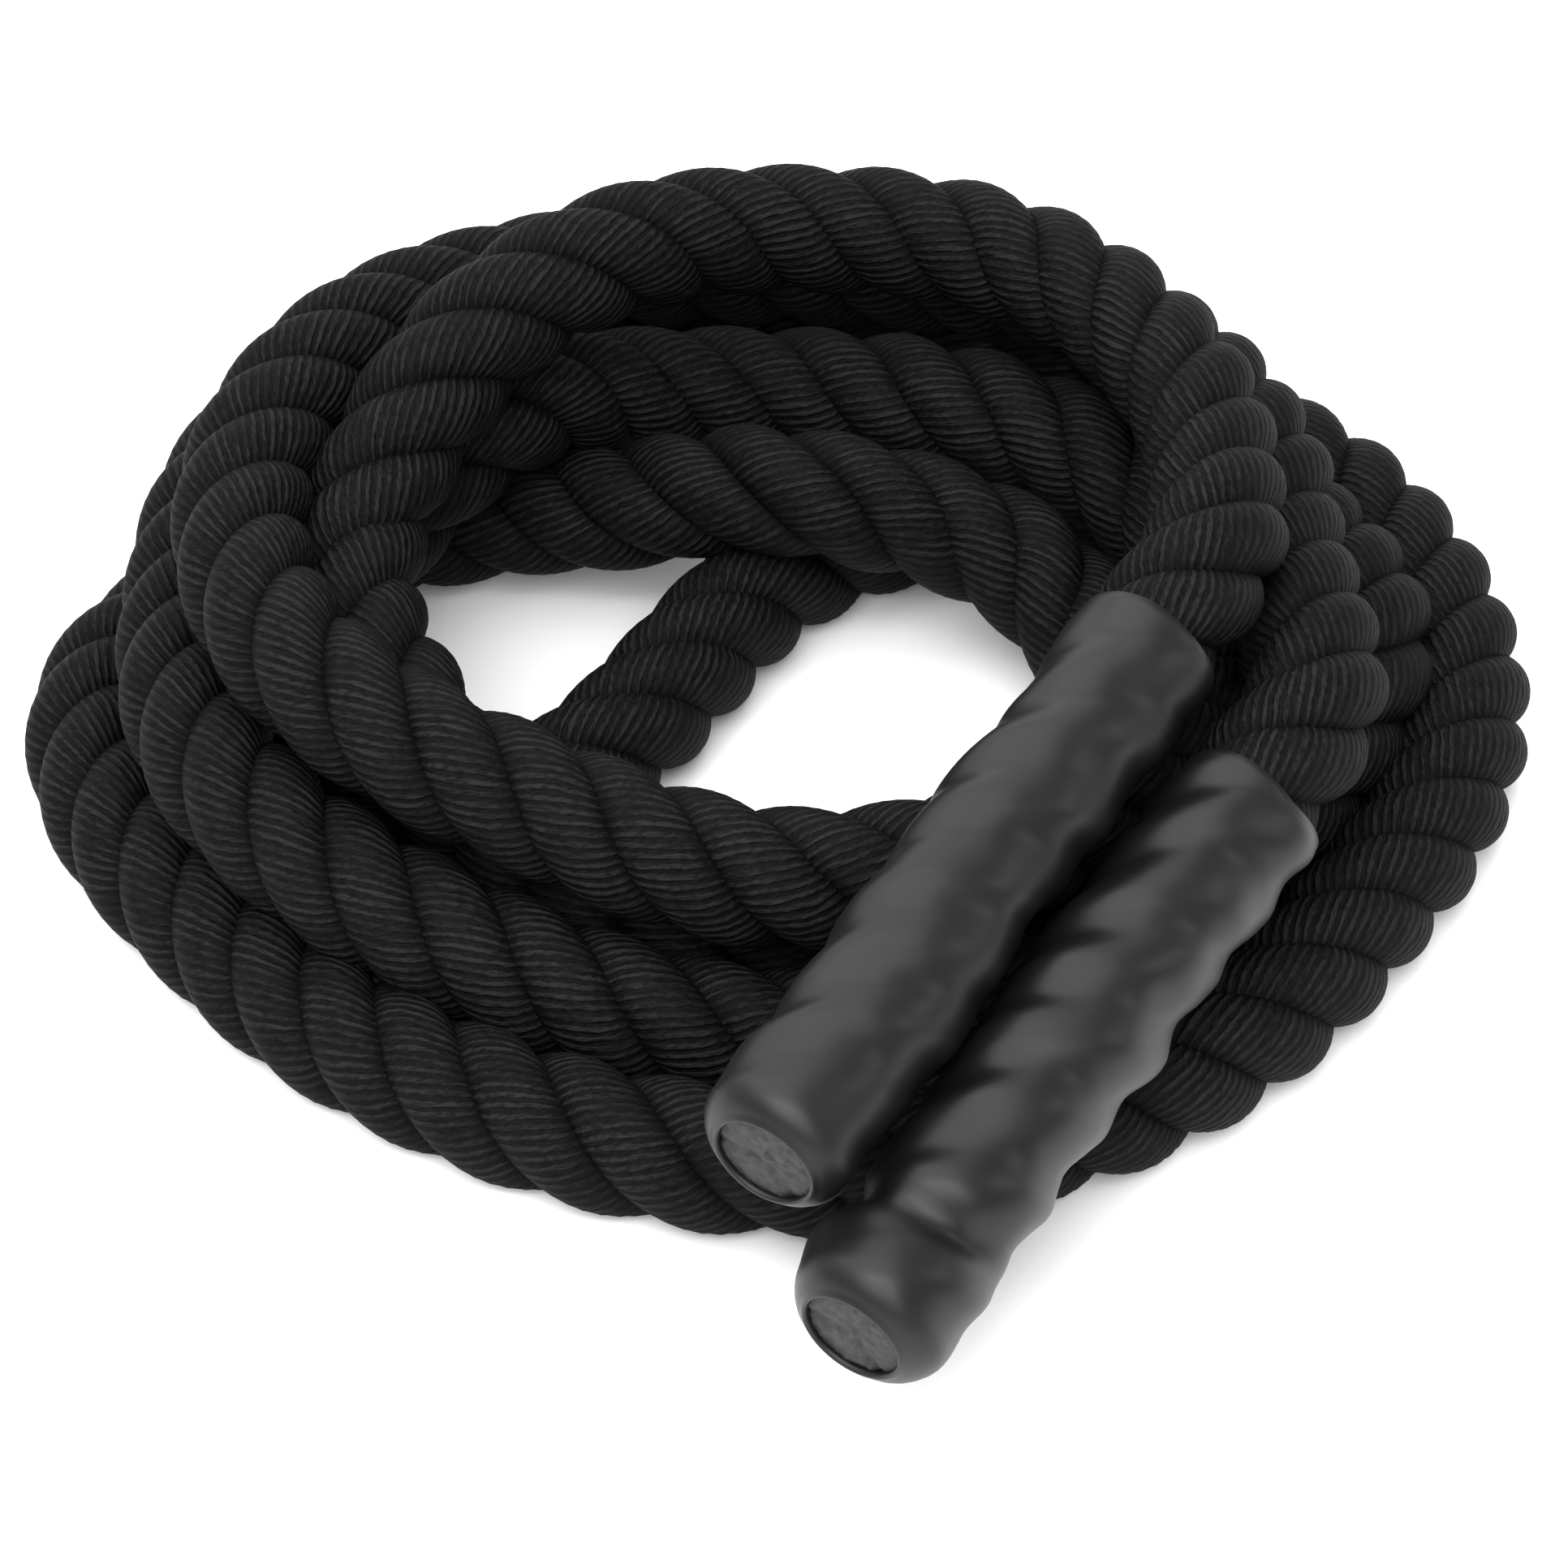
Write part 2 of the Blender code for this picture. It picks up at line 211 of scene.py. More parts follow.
route = settled(route, held, thickness)
shift = np.array([rope["middle"][0], rope["middle"][1], 0.0])
route = route + shift
freeEndA, mouthA, freeEndB, mouthB = freeEndA + shift, mouthA + shift, freeEndB + shift, mouthB + shift


def fineLine(points, spacing, ease):
    # a cubic through the points by chord length, read evenly and eased over a short run
    lengths = np.linalg.norm(np.diff(points, axis=0), axis=1)
    along = np.concatenate([[0.0], np.cumsum(lengths)])
    slopes = np.zeros_like(points)
    slopes[0] = (points[1] - points[0]) / lengths[0]
    slopes[-1] = (points[-1] - points[-2]) / lengths[-1]
    before = (points[1:-1] - points[:-2]) / lengths[:-1, None]
    after = (points[2:] - points[1:-1]) / lengths[1:, None]
    share = (lengths[1:] / (lengths[1:] + lengths[:-1]))[:, None]
    slopes[1:-1] = before * share + after * (1 - share)
    count = int(along[-1] / spacing) + 1
    wanted = np.linspace(0.0, along[-1], count)
    index = np.clip(np.searchsorted(along, wanted, side="right") - 1, 0, len(points) - 2)
    run = lengths[index][:, None]
    t = (wanted[:, None] - along[index][:, None]) / run
    line = ((2 * t ** 3 - 3 * t ** 2 + 1) * points[index] + (t ** 3 - 2 * t ** 2 + t) * run * slopes[index]
            + (-2 * t ** 3 + 3 * t ** 2) * points[index + 1] + (t ** 3 - t ** 2) * run * slopes[index + 1])
    reach = int(3 * ease / spacing)
    weights = np.exp(-0.5 * (np.arange(-reach, reach + 1) * spacing / ease) ** 2)
    weights /= weights.sum()
    lead = line[0] - (line[1] - line[0]) * np.arange(reach, 0, -1)[:, None]
    tail = line[-1] + (line[-1] - line[-2]) * np.arange(1, reach + 1)[:, None]
    padded = np.vstack([lead, line, tail])
    return np.stack([np.convolve(padded[:, axis], weights, "valid") for axis in range(3)], 1)


centreLine = fineLine(route, rope["spacing"], rope["ease"])

strands = {
    "names": ("rope_strand_a", "rope_strand_b", "rope_strand_c"),
    "layLength": 0.080,
    "offset": 0.0091,            # strand middle from rope middle
    "radius": 0.0100,
    "broad": 1.06,               # how much wider than thick the laid strands are pressed
    "yarns": 15,
    "yarnLay": 0.030,            # along the strand, for one turn of its yarns
    "swell": 0.012,              # share by which a strand grows thicker and thinner along its run
    "swellWaves": (54.0, 89.0),
    "columns": 40,
    "startAngle": 0.0,
    "gripSqueeze": 0.885,        # share of the open rope's size, inside the sleeves
    "gripInset": 0.012,          # where that begins, inward from the mouth
    "gripRun": 0.018,
    "endSqueeze": 0.82,          # and behind the fused faces
    "endReach": 0.060,
    "endRun": 0.015,
    "endInset": 0.0065,          # cut faces, just behind the melted ones
    "softFloor": 0.0040,         # heights under this are pressed together above the floor
}


def travellingFrames(line):
    # sideways directions carried along the line without turning about it
    ways = np.gradient(line, axis=0)
    ways /= np.linalg.norm(ways, axis=1)[:, None]
    side = np.cross(ways[0], (0.0, 0.0, 1.0))
    side /= np.linalg.norm(side)
    sides = [side]
    for index in range(1, len(line)):
        side = sides[-1] - ways[index] * np.dot(sides[-1], ways[index])
        sides.append(side / np.linalg.norm(side))
    sides = np.array(sides)
    return ways, sides, np.cross(ways, sides)


alongLine = np.concatenate([[0.0], np.cumsum(np.linalg.norm(np.diff(centreLine, axis=0), axis=1))])
keepRun = (alongLine > strands["endInset"]) & (alongLine < alongLine[-1] - strands["endInset"])
centreLine = centreLine[keepRun]
alongLine = alongLine[keepRun]
ways, sides, ups = travellingFrames(centreLine)
gripReach = rope["sleeveLength"] - strands["gripInset"]


def eased(value):
    value = np.clip(value, 0.0, 1.0)
    return value * value * (3 - 2 * value)


def squeezeShare(distance):
    # full size on the open rope, a little thinner under a sleeve
    nearEnd = np.minimum(distance, alongLine[-1] + alongLine[0] - distance)
    rise = eased((nearEnd - gripReach) / strands["gripRun"])
    tight = eased((strands["endReach"] - nearEnd) / strands["endRun"])
    return (strands["gripSqueeze"] + (1 - strands["gripSqueeze"]) * rise
            - (strands["gripSqueeze"] - strands["endSqueeze"]) * tight)


ropeShare = squeezeShare(alongLine)


def softened(heights, margin):
    low = heights < margin
    heights[low] = margin * np.exp((heights[low] - margin) / margin)
    return heights


def strandMesh(name, number):
    angles = strands["startAngle"] + 2 * math.pi * (alongLine / strands["layLength"] + number / 3)
    outward = np.cos(angles)[:, None] * sides + np.sin(angles)[:, None] * ups
    middles = centreLine + outward * (strands["offset"] * ropeShare)[:, None]
    strandWays = np.gradient(middles, axis=0)
    lengths = np.linalg.norm(np.diff(middles, axis=0), axis=1)
    strandAlong = np.concatenate([[0.0], np.cumsum(lengths)])
    strandWays /= np.linalg.norm(strandWays, axis=1)[:, None]
    across = outward - strandWays * (outward * strandWays).sum(1)[:, None]
    across /= np.linalg.norm(across, axis=1)[:, None]
    level = np.cross(strandWays, across)
    columns = strands["columns"]
    column = np.arange(columns)
    # the seam of the map runs along the rope's middle, where the strands hide it
    turned = math.pi + 2 * math.pi * column / columns
    slow, quick = strands["swellWaves"]
    swell = np.sin(strandAlong * slow + 2.1 * number) + 0.7 * np.sin(strandAlong * quick + 1.3 * number)
    radius = strands["radius"] * ropeShare * (1 + strands["swell"] * swell * (ropeShare > 0.999))
    ring = (np.cos(turned)[None, :, None] * across[:, None, :]
            + strands["broad"] * np.sin(turned)[None, :, None] * level[:, None, :])
    points = middles[:, None, :] + radius[:, None, None] * ring
    rings = len(middles)
    points = points.reshape(-1, 3)
    points[:, 2] = softened(points[:, 2].copy(), strands["softFloor"])
    ends = np.array([middles[0], middles[-1]])
    vertices = np.vstack([points, ends])
    row = np.arange(rings - 1)[:, None] * columns
    following = (column + 1) % columns
    quads = np.stack([row + column, row + following, row + columns + following, row + columns + column], -1)
    quads = quads.reshape(-1, 4)
    last = (rings - 1) * columns
    caps = [(rings * columns, int(following[k]), int(k)) for k in column]
    caps += [(rings * columns + 1, int(last + k), int(last + following[k])) for k in column]
    mesh = bpy.data.meshes.new(name)
    mesh.from_pydata(vertices.tolist(), [], quads.tolist() + caps)
    uv = mesh.uv_layers.new(name="yarnMap")
    corner = np.arange(columns)
    u = np.stack([corner, corner + 1, corner + 1, corner], -1) / columns
    values = np.zeros((len(mesh.loops), 2))
    vNear, vFar = strandAlong[:-1], strandAlong[1:]
    vAll = np.tile(np.stack([vNear, vNear, vFar, vFar], 1)[:, None, :], (1, columns, 1)).reshape(-1)
    # u stays the same along a yarn, v runs along the strand
    uAll = np.tile(u.reshape(1, -1), (rings - 1, 1)).reshape(-1) + vAll / strands["yarnLay"]
    values[:len(uAll), 0] = uAll
    values[:len(vAll), 1] = vAll
    uv.data.foreach_set("uv", values.reshape(-1))
    mesh.validate()
    mesh.update()
    strand = bpy.data.objects.new(name, mesh)
    bpy.context.scene.collection.objects.link(strand)
    mesh.shade_smooth()
    return strand


strandPieces = [strandMesh(name, number) for number, name in enumerate(strands["names"])]
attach(strandPieces[0], "root")
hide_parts("rope_coil", "rope_end_a", "rope_end_b")
for piece in strandPieces[1:]:
    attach(piece, "root")
print("three strands laid, %d faces" % sum(len(piece.data.polygons) for piece in strandPieces))


# heat-shrunk grips: they follow the strands under them and turn in over the rope's end
grip = {
    "names": ("grip_skin_a", "grip_skin_b"),
    "radius": 0.0190,            # mean, outside
    "bulges": (0.0011, 0.0016),  # over a strand, and as much under it between two
    "valleyWidth": 0.04,         # small for narrow valleys between the lobes
    "wall": 0.0009,
    "mouthBulge": 0.0008,
    "mouthRun": 0.006,
    "edgeRun": 0.012,            # over which the mouth's edge grows wavy
    "edgeWaves": (0.0007, 0.0028),
    "endRound": 0.0080,
    "endRun": 0.022,             # over which the lobes fade towards the free end
    "turnStep": 12,              # degrees, of the round of the free end
    "openingRadius": 0.0128,
    "rim": 0.0005,
    "sides": 96,
    "rings": 120,
    "patchScale": 38.0,
    "swayScale": 24.0,
    "dent": 0.0026,
    "dentScale": 24.0,
    "necks": (0.0006, 0.0034),   # how deep the fold lies behind each free end
    "neckAt": 0.033,
    "neckSway": 0.004,
    "neckWidth": 0.0050,
    "knobGap": 0.016,            # from the fold to the swelling in front of it
    "knobWidth": 0.008,
    "corners": (0.0004, 0.0019),  # how far each mouth stands out on the right-hand side
    "cornerAt": 0.006,
    "cornerRun": 0.014,
}


def selectEdges(shell, wanted):
    bpy.ops.mesh.select_mode(type="EDGE")
    bpy.ops.mesh.select_all(action="DESELECT")
    work = bmesh.from_edit_mesh(shell.data)
    for edge in work.edges:
        if wanted(edge.verts[0].co, edge.verts[1].co):
            edge.select = True
    bmesh.update_edit_mesh(shell.data)


def gripSkin(name, phase, seed, number, place):
    body = rope["sleeveLength"] - grip["endRound"]
    bulge, neck, corner = grip["bulges"][number], grip["necks"][number], grip["corners"][number]
    bpy.ops.object.select_all(action="DESELECT")
    middle = grip["endRound"] + body / 2
    bpy.ops.mesh.primitive_cylinder_add(vertices=grip["sides"], radius=grip["radius"], depth=body,
                                        end_fill_type="NOTHING", location=(0.0, 0.0, middle))
    skin = bpy.context.active_object
    skin.name = name
    skin.data.name = name
    bpy.ops.object.transform_apply(location=True, rotation=True, scale=True)
    bpy.ops.object.mode_set(mode="EDIT")
    selectEdges(skin, lambda a, b: abs(a.z - b.z) > body / 2)
    bpy.ops.mesh.subdivide(number_cuts=grip["rings"])
    selectEdges(skin, lambda a, b: max(a.z, b.z) < grip["endRound"] + 0.0001)
    radius, height, bend = grip["radius"], grip["endRound"], grip["endRound"]
    turnIn = [(grip["radius"] - bend * (1 - math.cos(turn)), bend * (1 - math.sin(turn)))
              for turn in np.radians(np.arange(grip["turnStep"], 85, grip["turnStep"]))]
    opening, rim = grip["openingRadius"], grip["rim"]
    turnIn = [step for step in turnIn if step[0] > opening + 2.5 * rim]
    # the rim rolls inwards: radius and height of each step
    turnIn += [(opening + 2 * rim, 0.0004), (opening + 1.2 * rim, -0.0001), (opening + 0.2 * rim, -0.0002),
               (opening - 0.8 * rim, 0.0003), (opening - 1.1 * rim, 0.0011), (opening - 0.8 * rim, 0.0020)]
    for nextRadius, nextHeight in turnIn:
        bpy.ops.mesh.extrude_edges_move(TRANSFORM_OT_translate={"value": (0.0, 0.0, nextHeight - height)})
        share = nextRadius / radius
        bpy.ops.transform.resize(value=(share, share, 1.0), center_override=(0.0, 0.0, nextHeight))
        radius, height = nextRadius, nextHeight
    bpy.ops.mesh.select_all(action="SELECT")
    bpy.ops.mesh.remove_doubles(threshold=0.00001)
    bpy.ops.mesh.normals_make_consistent(inside=False)
    bpy.ops.object.mode_set(mode="OBJECT")
    # uneven lobes over the strands, soft dents, a fold behind the end and a corner pulled out at the mouth
    right = place.to_3x3().inverted() @ Vector((1.0, -0.3, 0.0))
    rightTurn = math.atan2(right.y, right.x)
    broadWave, edgeSway = grip["edgeWaves"]
    for vertex in skin.data.vertices:
        x, y, z = vertex.co
        around = math.atan2(y, x)
        out = math.hypot(x, y)
        lobe = around - 2 * math.pi * z / strands["layLength"] - phase
        patch = noise.noise(Vector((math.cos(lobe) + seed, math.sin(lobe), z * grip["patchScale"])))
        swayAt = Vector((math.cos(around) * 0.8, math.sin(around) * 0.8 + seed, z * grip["swayScale"]))
        sway = noise.noise(swayAt)
        # broad backs over the strands, narrow valleys between them
        wave = 2 * math.sqrt(math.cos(1.5 * lobe + 0.35 * sway) ** 2 + grip["valleyWidth"]) - 1.1
        if wave < 0.0:
            wave *= 0.8 - 0.5 * max(0.0, patch * 1.6)
        nearMouth = float(eased((z - rope["sleeveLength"] + grip["mouthRun"]) / grip["mouthRun"]))
        nearEnd = float(eased(1 - z / grip["endRun"]))
        spot = Vector((x, y, z)) * grip["dentScale"] + Vector((seed, 0.0, 0.0))
        uneven = noise.noise(spot)
        fine = noise.noise(spot * 2.6 + Vector((0.0, 9.0, 0.0)))
        swell = bulge * (1.0 + 0.9 * patch) * (1 - 0.85 * nearEnd)
        swell += (grip["mouthBulge"] - swell) * nearMouth
        lift = swell * wave
        lift += grip["dent"] * (uneven + 0.3 * fine) * (1 - 0.6 * nearMouth) * (1 - 0.5 * nearEnd)
        apart = math.remainder(around - rightTurn, 2 * math.pi)
        toCorner = (z - rope["sleeveLength"] + grip["cornerAt"]) / grip["cornerRun"]
        lift += corner * math.exp(-(apart / 0.7) ** 2 - toCorner ** 2)
        foldAt = grip["neckAt"] + grip["neckSway"] * math.sin(around + seed)
        deeper = 0.75 + 0.5 * math.cos(around - 2.0)
        lift -= neck * math.exp(-((z - foldAt) / grip["neckWidth"]) ** 2) * deeper
        lift += 0.35 * neck * math.exp(-((z - foldAt + grip["knobGap"]) / grip["knobWidth"]) ** 2)
        lift *= min(1.0, (out / grip["radius"]) ** 3)
        vertex.co.x += math.cos(around) * lift
        vertex.co.y += math.sin(around) * lift
        nearEdge = float(eased((z - rope["sleeveLength"] + grip["edgeRun"]) / grip["edgeRun"]))
        vertex.co.z += (broadWave * wave + edgeSway * sway) * nearEdge
    shell = skin.modifiers.new("wall", "SOLIDIFY")
    shell.thickness = grip["wall"]
    shell.offset = -1.0
    shell.use_even_offset = False
    bpy.ops.object.modifier_apply(modifier="wall")
    skin.data.transform(place)
    skin.data.shade_smooth()
    return skin


def endPlace(index, way):
    # local Z runs from the free end to the mouth, local X is the rope's sideways direction there
    side = Vector(sides[index])
    axis = Vector(way).normalized()
    side = (side - axis * side.dot(axis)).normalized()
    level = axis.cross(side)
    origin = Vector(freeEndA if index == 0 else freeEndB)
    return Matrix(((side.x, level.x, axis.x, origin.x), (side.y, level.y, axis.y, origin.y),
                   (side.z, level.z, axis.z, origin.z), (0.0, 0.0, 0.0, 1.0)))


wholeRun = alongLine[-1] + strands["endInset"]
gripPhases = (strands["startAngle"], -strands["startAngle"] - 2 * math.pi * wholeRun / strands["layLength"])
gripPlaces = (endPlace(0, wayA), endPlace(-1, wayB))
gripPieces = []
for number, name in enumerate(grip["names"]):
    piece = gripSkin(name, gripPhases[number], 3.7 + 5.1 * number, number, gripPlaces[number])
    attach(piece, "root")
    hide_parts(("grip_sleeve_a", "grip_sleeve_b")[number])
    gripPieces.append(piece)
print("grips shrunk on")

# fused ends: the three strands melted into one rough face, seen through the sleeve's opening
fused = {
    "names": ("melted_face_a", "melted_face_b"),
    "radius": 0.0150,
    "depth": 0.0010,             # of the face behind the sleeve's free end
    "thick": 0.0048,
    "sides": 72,
    "rings": 19,
    "groove": 0.0008,            # of the seams between the strands
    "grooveWidth": 0.0013,
    "rough": 0.0004,
    "dish": 0.0009,              # the face's edge lies so much further in
}


def meltedFace(name, phase, seed, place):
    bpy.ops.object.select_all(action="DESELECT")
    middle = fused["depth"] + fused["thick"] / 2
    bpy.ops.mesh.primitive_cylinder_add(vertices=fused["sides"], radius=fused["radius"], depth=fused["thick"],
                                        end_fill_type="NGON", location=(0.0, 0.0, middle))
    face = bpy.context.active_object
    face.name = name
    face.data.name = name
    bpy.ops.object.transform_apply(location=True, rotation=True, scale=True)
    bpy.ops.object.mode_set(mode="EDIT")
    bpy.ops.mesh.select_mode(type="FACE")
    bpy.ops.mesh.select_all(action="DESELECT")
    work = bmesh.from_edit_mesh(face.data)
    for part in work.faces:
        part.select = part.normal.z < -0.9
    bmesh.update_edit_mesh(face.data)
    for step in range(fused["rings"]):
        bpy.ops.mesh.inset(thickness=fused["radius"] / (fused["rings"] + 1.5), depth=0.0)
    bpy.ops.mesh.poke()
    bpy.ops.object.mode_set(mode="OBJECT")
    for vertex in face.data.vertices:
        x, y, z = vertex.co
        if z > fused["depth"] + 0.0005:
            continue
        out = math.hypot(x, y)
        around = math.atan2(y, x) - phase
        # seams between the strands run out from the middle, half way between two lobes
        toSeam = abs(math.sin(1.5 * (around - math.pi / 3))) * out * 0.67
        seam = math.exp(-(toSeam / fused["grooveWidth"]) ** 2) * min(1.0, out / 0.002)
        spot = Vector((x, y, 0.0))
        rough = noise.noise(spot * 420.0 + Vector((seed, 0.0, 0.0)))
        rough += 0.6 * noise.noise(spot * 1100.0 + Vector((0.0, seed, 0.0)))
        dish = fused["dish"] * (out / fused["radius"]) ** 4
        vertex.co.z += fused["groove"] * seam + fused["rough"] * rough + dish
    face.data.transform(place)
    face.data.shade_smooth()
    return face


endPieces = []
for number, name in enumerate(fused["names"]):
    piece = meltedFace(name, gripPhases[number], 2.3 + 7.7 * number, gripPlaces[number])
    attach(piece, "root")
    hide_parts(("fused_end_a", "fused_end_b")[number])
    endPieces.append(piece)
print("ends fused")


class Flow:
    # a socket whose sums are written as plain maths
    def __init__(self, tree, socket):
        self.tree = tree
        self.socket = socket

    def node(self, kind, settings=None, **inputs):
        # i0, i1 and so on name an input by its place, any other word by its label
        made = self.tree.nodes.new(kind)
        for key, value in (settings or {}).items():
            setattr(made, key, value)
        for key, value in inputs.items():
            byPlace = key[0] == "i" and key[1:].isdigit()
            socket = made.inputs[int(key[1:]) if byPlace else key.replace("_", " ")]
            if isinstance(value, Flow):
                self.tree.links.new(value.socket, socket)
            else:
                socket.default_value = value
        return made

    def read(self, kind, settings=None, **inputs):
        # the first output of a new node
        return Flow(self.tree, self.node(kind, settings, **inputs).outputs[0])

    def feed(self, shader, label):
        self.tree.links.new(self.socket, shader.inputs[label])

    def maths(self, operation, other=0.0):
        return self.read("ShaderNodeMath", {"operation": operation}, i0=self, i1=other)

    def __add__(self, other):
        return self.maths("ADD", other)

    def __radd__(self, other):
        return self.maths("ADD", other)

    def __sub__(self, other):
        return self.maths("SUBTRACT", other)

    def __rsub__(self, other):
        return self.read("ShaderNodeMath", {"operation": "SUBTRACT"}, i0=other, i1=self)

    def __mul__(self, other):
        return self.maths("MULTIPLY", other)

    def __rmul__(self, other):
        return self.maths("MULTIPLY", other)

    def clamped(self, low, high, outLow=0.0, outHigh=1.0):
        return self.read("ShaderNodeMapRange", {"interpolation_type": "SMOOTHSTEP"}, Value=self,
                         From_Min=low, From_Max=high, To_Min=outLow, To_Max=outHigh)


def newMaterial(name, roughness, gloss=0.5):
    material = bpy.data.materials.new(name)
    material.use_nodes = True
    tree = material.node_tree
    shader = tree.nodes["Principled BSDF"]
    shader.inputs["Roughness"].default_value = roughness
    shader.inputs["Specular IOR Level"].default_value = gloss
    return material, Flow(tree, None), shader


def colourBetween(flow, share, dark, light):
    mixed = flow.node("ShaderNodeMix", {"data_type": "RGBA"}, i0=share)
    mixed.inputs[6].default_value = (*dark, 1.0)
    mixed.inputs[7].default_value = (*light, 1.0)
    return Flow(flow.tree, mixed.outputs[2])


def yarnMaterial(name):
    finish = {
        "dark": (0.0008, 0.0008, 0.0009),
        "light": (0.0135, 0.0135, 0.0137),
        "roughness": 0.62,
        "gloss": 0.045,
        "groove": 0.0009,            # height of a yarn's rib
        "fuzz": 0.0004,
        "wander": 0.55,              # share of a yarn by which the ribs stray sideways
    }
    material, flow, shader = newMaterial(name, finish["roughness"], finish["gloss"])
    parts = flow.node("ShaderNodeSeparateXYZ", i0=flow.read("ShaderNodeUVMap", {"uv_map": "yarnMap"}))
    around, along = Flow(flow.tree, parts.outputs[0]), Flow(flow.tree, parts.outputs[1])
    turn = around * 2 * math.pi
    right, front = turn.maths("COSINE") * strands["radius"], turn.maths("SINE") * strands["radius"]

    def yarnNoise(acrossScale, alongScale, detail, roughness=0.5):
        # closes round a strand without a seam, and has its own scale along it
        place = flow.read("ShaderNodeCombineXYZ", i0=right * acrossScale, i1=front * acrossScale,
                          i2=along * alongScale)
        return flow.read("ShaderNodeTexNoise", Vector=place, Scale=1.0, Detail=detail, Roughness=roughness)

    fibre = yarnNoise(900.0, 1000.0, 3.0, 0.65)
    drift = yarnNoise(190.0, 260.0, 2.0)
    worn = yarnNoise(90.0, 90.0, 2.0).clamped(0.35, 0.65, 0.3, 1.15)
    # wave is 1 on a yarn's crest, inward is 1 on the side of a strand that faces the rope's middle
    wave = ((around * strands["yarns"] + drift * finish["wander"]) * 2 * math.pi).maths("COSINE")
    inward = ((around - along * (1 / strands["yarnLay"])) * 2 * math.pi).maths("COSINE")
    crest = wave.clamped(-0.75, 0.75) * worn
    # painted shade: the colour grows darker where a strand dips down to its neighbours, in place of the
    # shadow under their overhang
    paintedValleyShade = inward.clamped(-0.88, 0.08, 1.0, 0.05)
    # painted shade: crest also darkens the colour in the grooves between the yarns, where shade would fall
    share = (crest * 0.7 + 0.2) * fibre.clamped(0.33, 0.7, 0.35, 1.7) * paintedValleyShade
    colourBetween(flow, share, finish["dark"], finish["light"]).feed(shader, "Base Color")
    (finish["roughness"] - 0.1 + fibre * 0.25).feed(shader, "Roughness")
    height = crest * finish["groove"] + fibre * finish["fuzz"]
    flow.read("ShaderNodeBump", Strength=0.8, Distance=1.0, Height=height).feed(shader, "Normal")
    return material


ropeFinish = yarnMaterial("laid_polyester_yarn")
for piece in strandPieces:
    piece.data.materials.append(ropeFinish)
print("yarn finish on")


def sleeveMaterial(name):
    finish = {
        "colour": (0.0025, 0.0025, 0.0027),
        "roughness": 0.42,
        "smear": 0.14,               # how much the roughness changes from patch to patch
        "gloss": 0.32,
    }
    material, flow, shader = newMaterial(name, finish["roughness"], finish["gloss"])
    spot = Flow(flow.tree, flow.node("ShaderNodeTexCoord").outputs["Object"])
    cloud = flow.read("ShaderNodeTexNoise", Vector=spot, Scale=60.0, Detail=3.0)
    grain = flow.read("ShaderNodeTexNoise", Vector=spot, Scale=900.0, Detail=2.0)
    shader.inputs["Base Color"].default_value = (*finish["colour"], 1.0)
    (finish["roughness"] - finish["smear"] / 2 + cloud * finish["smear"]).feed(shader, "Roughness")
    height = cloud * 0.8 + grain * 0.12
    flow.read("ShaderNodeBump", Strength=0.35, Distance=0.0003, Height=height).feed(shader, "Normal")
    return material


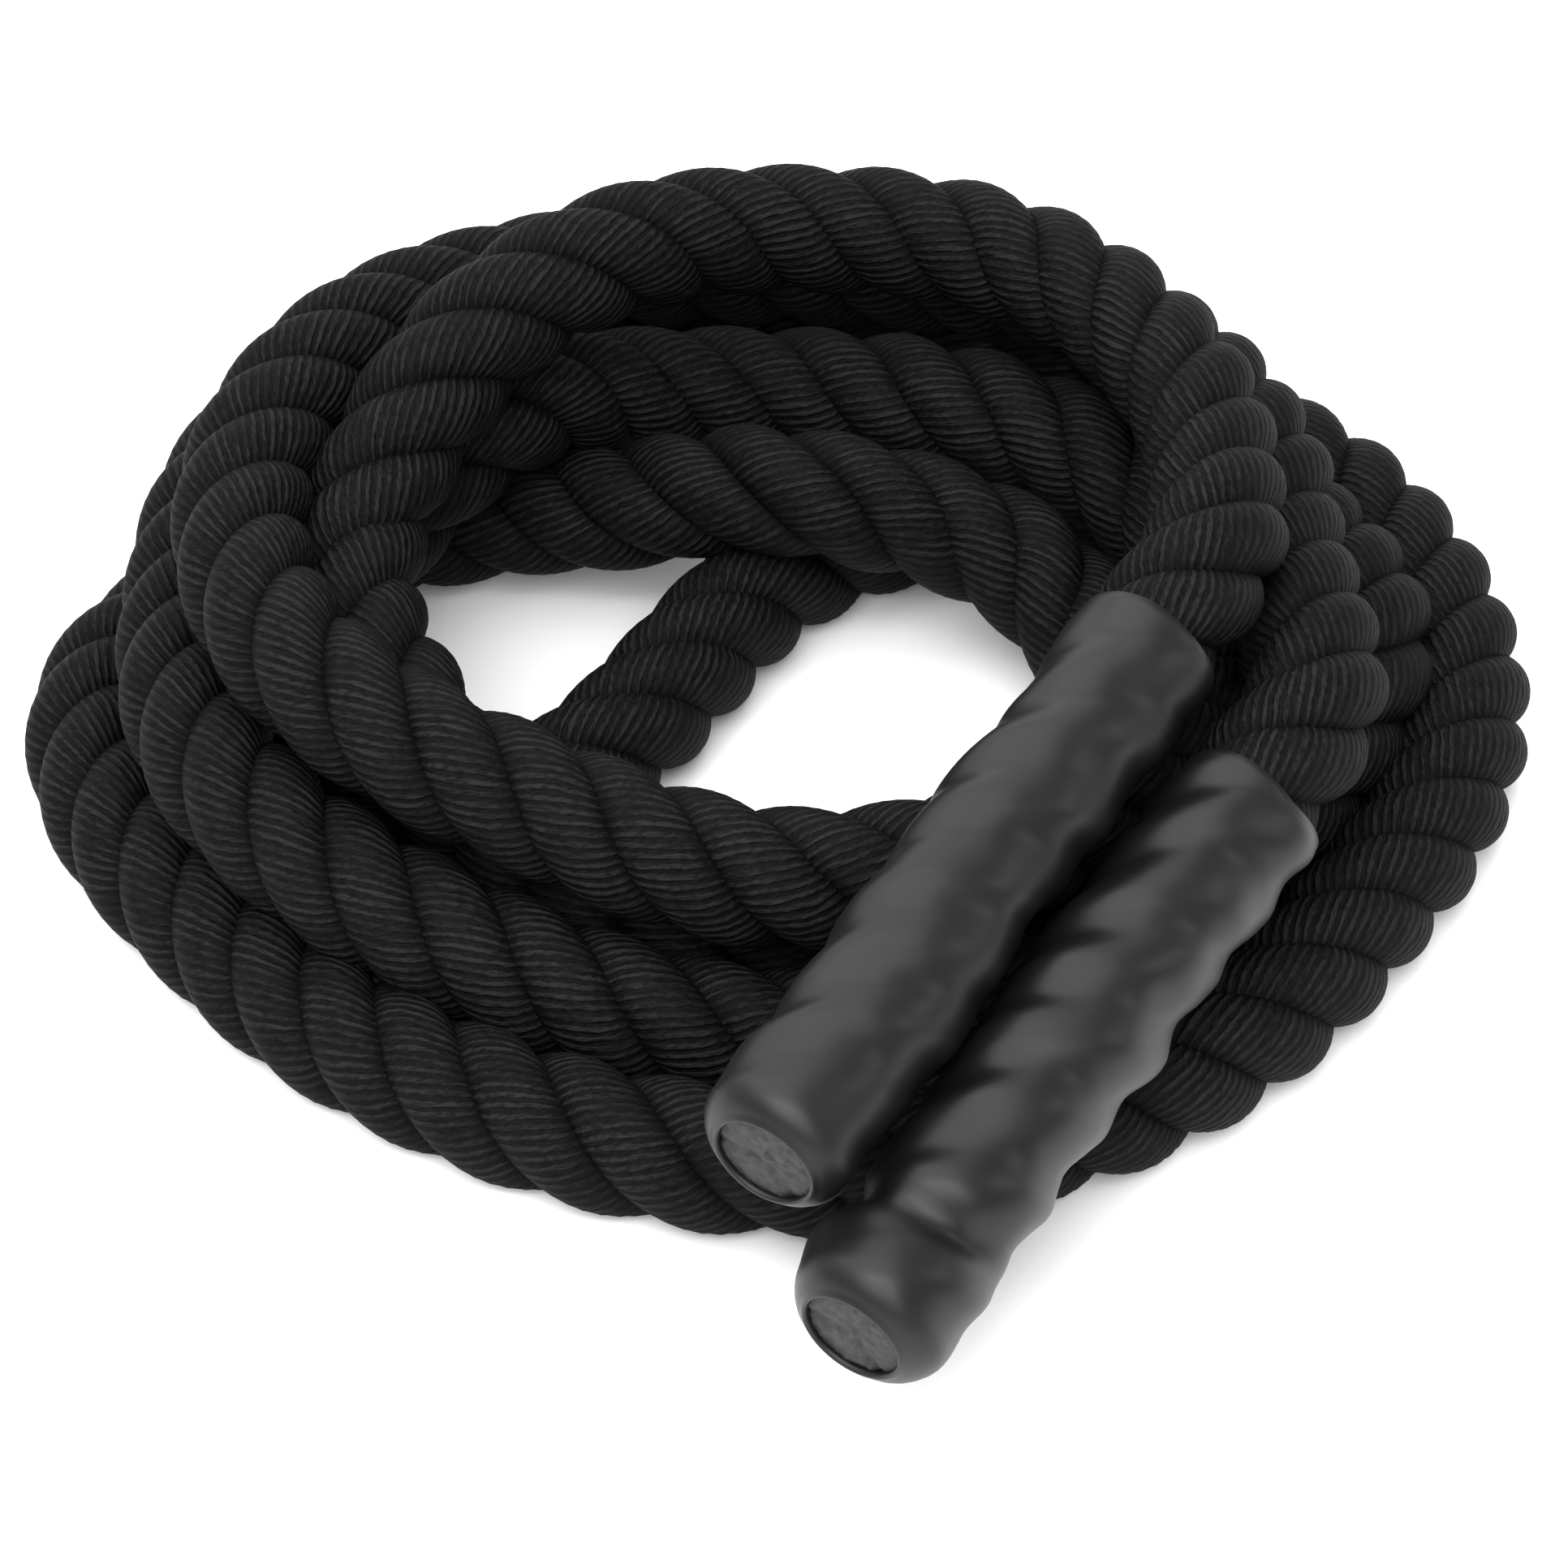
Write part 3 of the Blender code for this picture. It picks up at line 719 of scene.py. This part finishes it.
def meltedMaterial(name):
    finish = {
        "dark": (0.006, 0.006, 0.006),
        "light": (0.030, 0.030, 0.031),
        "roughness": 0.4,
        "smear": 0.35,
        "gloss": 0.3,
    }
    material, flow, shader = newMaterial(name, finish["roughness"], finish["gloss"])
    spot = Flow(flow.tree, flow.node("ShaderNodeTexCoord").outputs["Object"])
    cloud = flow.read("ShaderNodeTexNoise", Vector=spot, Scale=420.0, Detail=4.0, Roughness=0.7)
    colourBetween(flow, cloud.clamped(0.35, 0.7), finish["dark"], finish["light"]).feed(shader, "Base Color")
    (finish["roughness"] + cloud * finish["smear"]).feed(shader, "Roughness")
    flow.read("ShaderNodeBump", Strength=0.6, Distance=0.0003, Height=cloud).feed(shader, "Normal")
    return material


sleeveFinish = sleeveMaterial("satin_shrink_sleeve")
for piece in gripPieces:
    piece.data.materials.append(sleeveFinish)
endFinish = meltedMaterial("melted_fibre")
for piece in endPieces:
    piece.data.materials.append(endFinish)
print("grip finish on")

stage = {
    "floorSize": 12.0,
    "floorHeight": -0.0004,
    "floorColour": (0.93, 0.93, 0.93),
    "worldStrength": 0.55,
    # name, place, size and power of each light
    "lights": [
        ("overhead", (-0.45, 0.0, 1.95), (3.0, 3.0), 82.0),
        ("backdrop", (-0.5, 2.2, 1.3), (3.6, 2.4), 32.0),
        ("high_front", (-0.1, -1.5, 1.5), (2.2, 1.5), 54.0),
        ("right_side", (1.7, 0.1, 0.9), (0.9, 0.6), 4.0),
        ("left_side", (-1.8, 0.3, 0.9), (0.9, 0.7), 2.0),
    ],
    "lightsAim": (0.0, 0.0, 0.03),
}
bpy.ops.object.select_all(action="DESELECT")
bpy.ops.mesh.primitive_plane_add(size=stage["floorSize"], location=(0.0, 0.0, stage["floorHeight"]))
floor = bpy.context.active_object
floor.name = "studio_floor"
floorMaterial, floorFlow, floorShader = newMaterial("white_floor", 0.9)
floorShader.inputs["Base Color"].default_value = (*stage["floorColour"], 1.0)
floor.data.materials.append(floorMaterial)


def softLight(name, place, size, power):
    lamp = bpy.data.lights.new(name, "AREA")
    lamp.shape = "RECTANGLE"
    lamp.size, lamp.size_y = size
    lamp.energy = power
    body = bpy.data.objects.new(name, lamp)
    bpy.context.scene.collection.objects.link(body)
    body.location = place
    body.rotation_euler = (Vector(stage["lightsAim"]) - Vector(place)).to_track_quat("-Z", "Y").to_euler()


for light in stage["lights"]:
    softLight(*light)
world = bpy.data.worlds.new("studio")
bpy.context.scene.world = world
world.use_nodes = True
background = world.node_tree.nodes["Background"]
background.inputs["Color"].default_value = (1.0, 1.0, 1.0, 1.0)
background.inputs["Strength"].default_value = stage["worldStrength"]
bpy.context.scene.view_settings.view_transform = "Standard"
print("stage lit")
